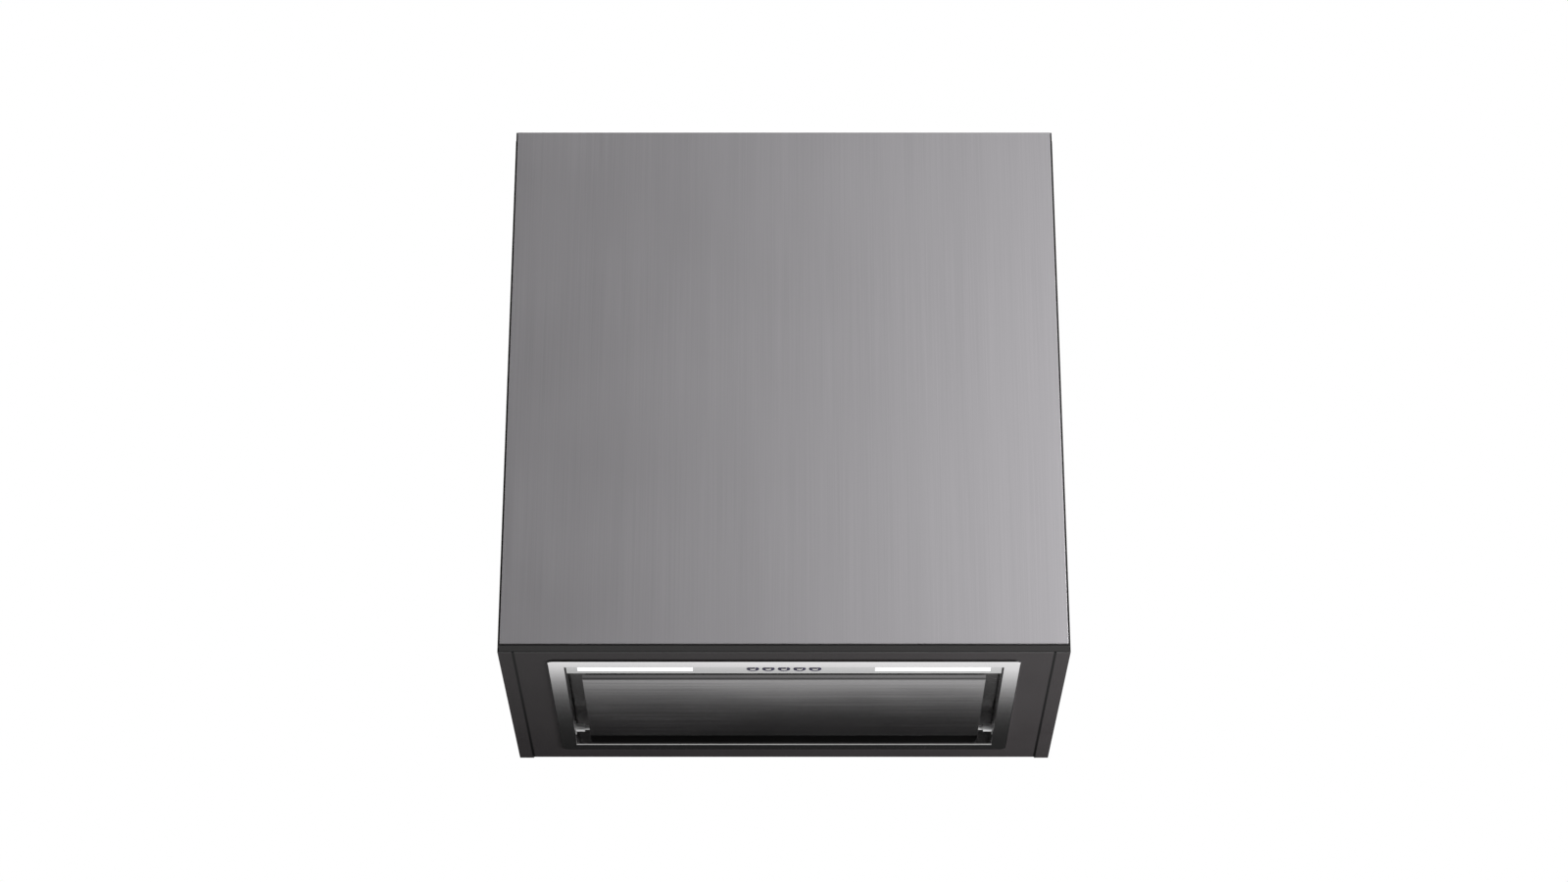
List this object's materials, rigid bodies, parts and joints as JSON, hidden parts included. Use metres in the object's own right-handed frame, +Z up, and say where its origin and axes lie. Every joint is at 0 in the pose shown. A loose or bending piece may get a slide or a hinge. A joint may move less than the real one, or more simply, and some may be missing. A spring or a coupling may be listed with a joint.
{
  "type": "range hood insert",
  "caption": "Built-in range hood insert in a wall unit: brushed stainless trim frame with lit control bar, hinged perimeter-suction panel, grease filters, blower and top duct outlet.",
  "frame": {"origin": "middle of the underside: x 0 and y 0 at the middle of the width and depth, z 0 on the lower face of the trim flange", "axes": "+X to the right seen from the front, +Y towards the wall, +Z up; the front faces -Y"},
  "size_m": [0.6, 0.36, 0.656],
  "materials": {
    "carcass_board": "dark anthracite laminated board, fine matt",
    "grey_brushed_sheet": "grey sheet with a fine upright brush",
    "plain_steel": "bright zinc-plated steel",
    "clear_rubber": "soft translucent bump",
    "stainless": "brushed stainless, grain along the width",
    "galvanised_sheet": "galvanised sheet, light spangle",
    "black_rubber": "black foam and rubber, matt",
    "light_diffuser": "opal white diffuser",
    "circuit_board": "green circuit board",
    "black_plastic": "black moulded plastic",
    "dark_violet_plastic": "dark bezel with a faint violet cast",
    "button_metal": "satin steel cap",
    "filter_aluminium": "mill-finish aluminium",
    "filter_mesh": "stacked expanded aluminium mesh",
    "grey_plastic": "grey moulded plastic",
    "motor_iron": "laminated iron"
  },
  "bodies": {
    "housing": {"back_panel": "carcass_board", "base_panel": "carcass_board", "button_bezels": "dark_violet_plastic", "button_guide": "black_plastic", "cable_gland": "grey_plastic", "casing": "galvanised_sheet", "casing_lid": "galvanised_sheet", "control_bar": "stainless", "control_board": "circuit_board", "damper_spindle": "plain_steel", "door_hinge_arms": "plain_steel", "door_hinge_screws": "plain_steel", "duct_pipe": "galvanised_sheet", "duct_seal": "black_rubber", "filter_frames": "filter_aluminium", "filter_meshes": "filter_mesh", "filter_tray": "stainless", "fixing_brackets": "galvanised_sheet", "fixing_screws": "plain_steel", "hanging_rail": "carcass_board", "light_boards": "circuit_board", "light_lenses": "light_diffuser", "motor_bearings": "plain_steel", "motor_bracket": "galvanised_sheet", "motor_rubbers": "black_rubber", "motor_shield_front": "filter_aluminium", "motor_shield_rear": "filter_aluminium", "motor_stator": "motor_iron", "outlet_collar": "black_plastic", "panel_catches": "black_plastic", "panel_hinge_brackets": "plain_steel", "power_box": "black_plastic", "power_box_cover": "black_plastic", "rear_seal": "black_rubber", "scroll_left": "black_plastic", "scroll_right": "black_plastic", "side_panel_left": "carcass_board", "side_panel_right": "carcass_board", "top_panel": "carcass_board", "trim_frame": "stainless"},
    "door": {"door_board": "carcass_board", "door_skin": "grey_brushed_sheet", "door_hinge_pins": "plain_steel", "door_buffers": "clear_rubber"},
    "panel": {"panel_skin": "stainless", "panel_back": "stainless", "panel_hinge_pins": "plain_steel", "panel_keepers": "plain_steel"},
    "fan": {"impeller": "grey_plastic", "motor_shaft": "plain_steel", "motor_rotor": "motor_iron"},
    "flap_front": {"damper_flap_front": "grey_plastic"},
    "flap_rear": {"damper_flap_rear": "grey_plastic"},
    "latch_left": {"filter_latch_left": "black_plastic"},
    "latch_right": {"filter_latch_right": "black_plastic"},
    "button_1": {"button_1": "button_metal"},
    "button_2": {"button_2": "button_metal"},
    "button_3": {"button_3": "button_metal"},
    "button_4": {"button_4": "button_metal"},
    "button_5": {"button_5": "button_metal"}
  },
  "joints": [
    {"name": "door_swing", "type": "hinge", "parent": "housing", "child": "door", "pos_m": [-0.29378, -0.16622, 0.307], "axis": [0, 0, -1], "range_deg": [0, 100]},
    {"name": "fan_spin", "type": "hinge", "parent": "housing", "child": "fan", "pos_m": [0, 0.04, 0.165], "axis": [1, 0, 0], "continuous": true},
    {"name": "flap_front_lift", "type": "hinge", "parent": "housing", "child": "flap_front", "pos_m": [0, -0.016, 0.307], "axis": [-1, 0, 0], "range_deg": [0, 75]},
    {"name": "flap_rear_lift", "type": "hinge", "parent": "housing", "child": "flap_rear", "pos_m": [0, -0.016, 0.307], "axis": [1, 0, 0], "range_deg": [0, 75]},
    {"name": "latch_left_slide", "type": "slide", "parent": "housing", "child": "latch_left", "axis": [0, 1, 0], "range_m": [0, 0.006], "stiffness_N_per_m": 150},
    {"name": "latch_right_slide", "type": "slide", "parent": "housing", "child": "latch_right", "axis": [0, 1, 0], "range_m": [0, 0.006], "stiffness_N_per_m": 150},
    {"name": "panel_swing", "type": "hinge", "parent": "housing", "child": "panel", "pos_m": [0, 0.091, 0.0068], "axis": [1, 0, 0], "range_deg": [0, 85]},
    {"name": "press_button_1", "type": "slide", "parent": "housing", "child": "button_1", "axis": [0, 0, 1], "range_m": [0, 0.0012], "stiffness_N_per_m": 200},
    {"name": "press_button_2", "type": "slide", "parent": "housing", "child": "button_2", "axis": [0, 0, 1], "range_m": [0, 0.0012], "stiffness_N_per_m": 200},
    {"name": "press_button_3", "type": "slide", "parent": "housing", "child": "button_3", "axis": [0, 0, 1], "range_m": [0, 0.0012], "stiffness_N_per_m": 200},
    {"name": "press_button_4", "type": "slide", "parent": "housing", "child": "button_4", "axis": [0, 0, 1], "range_m": [0, 0.0012], "stiffness_N_per_m": 200},
    {"name": "press_button_5", "type": "slide", "parent": "housing", "child": "button_5", "axis": [0, 0, 1], "range_m": [0, 0.0012], "stiffness_N_per_m": 200}
  ],
  "couplings": [
    {"joint": "flap_rear_lift", "follows": "flap_front_lift", "ratio": 1}
  ]
}
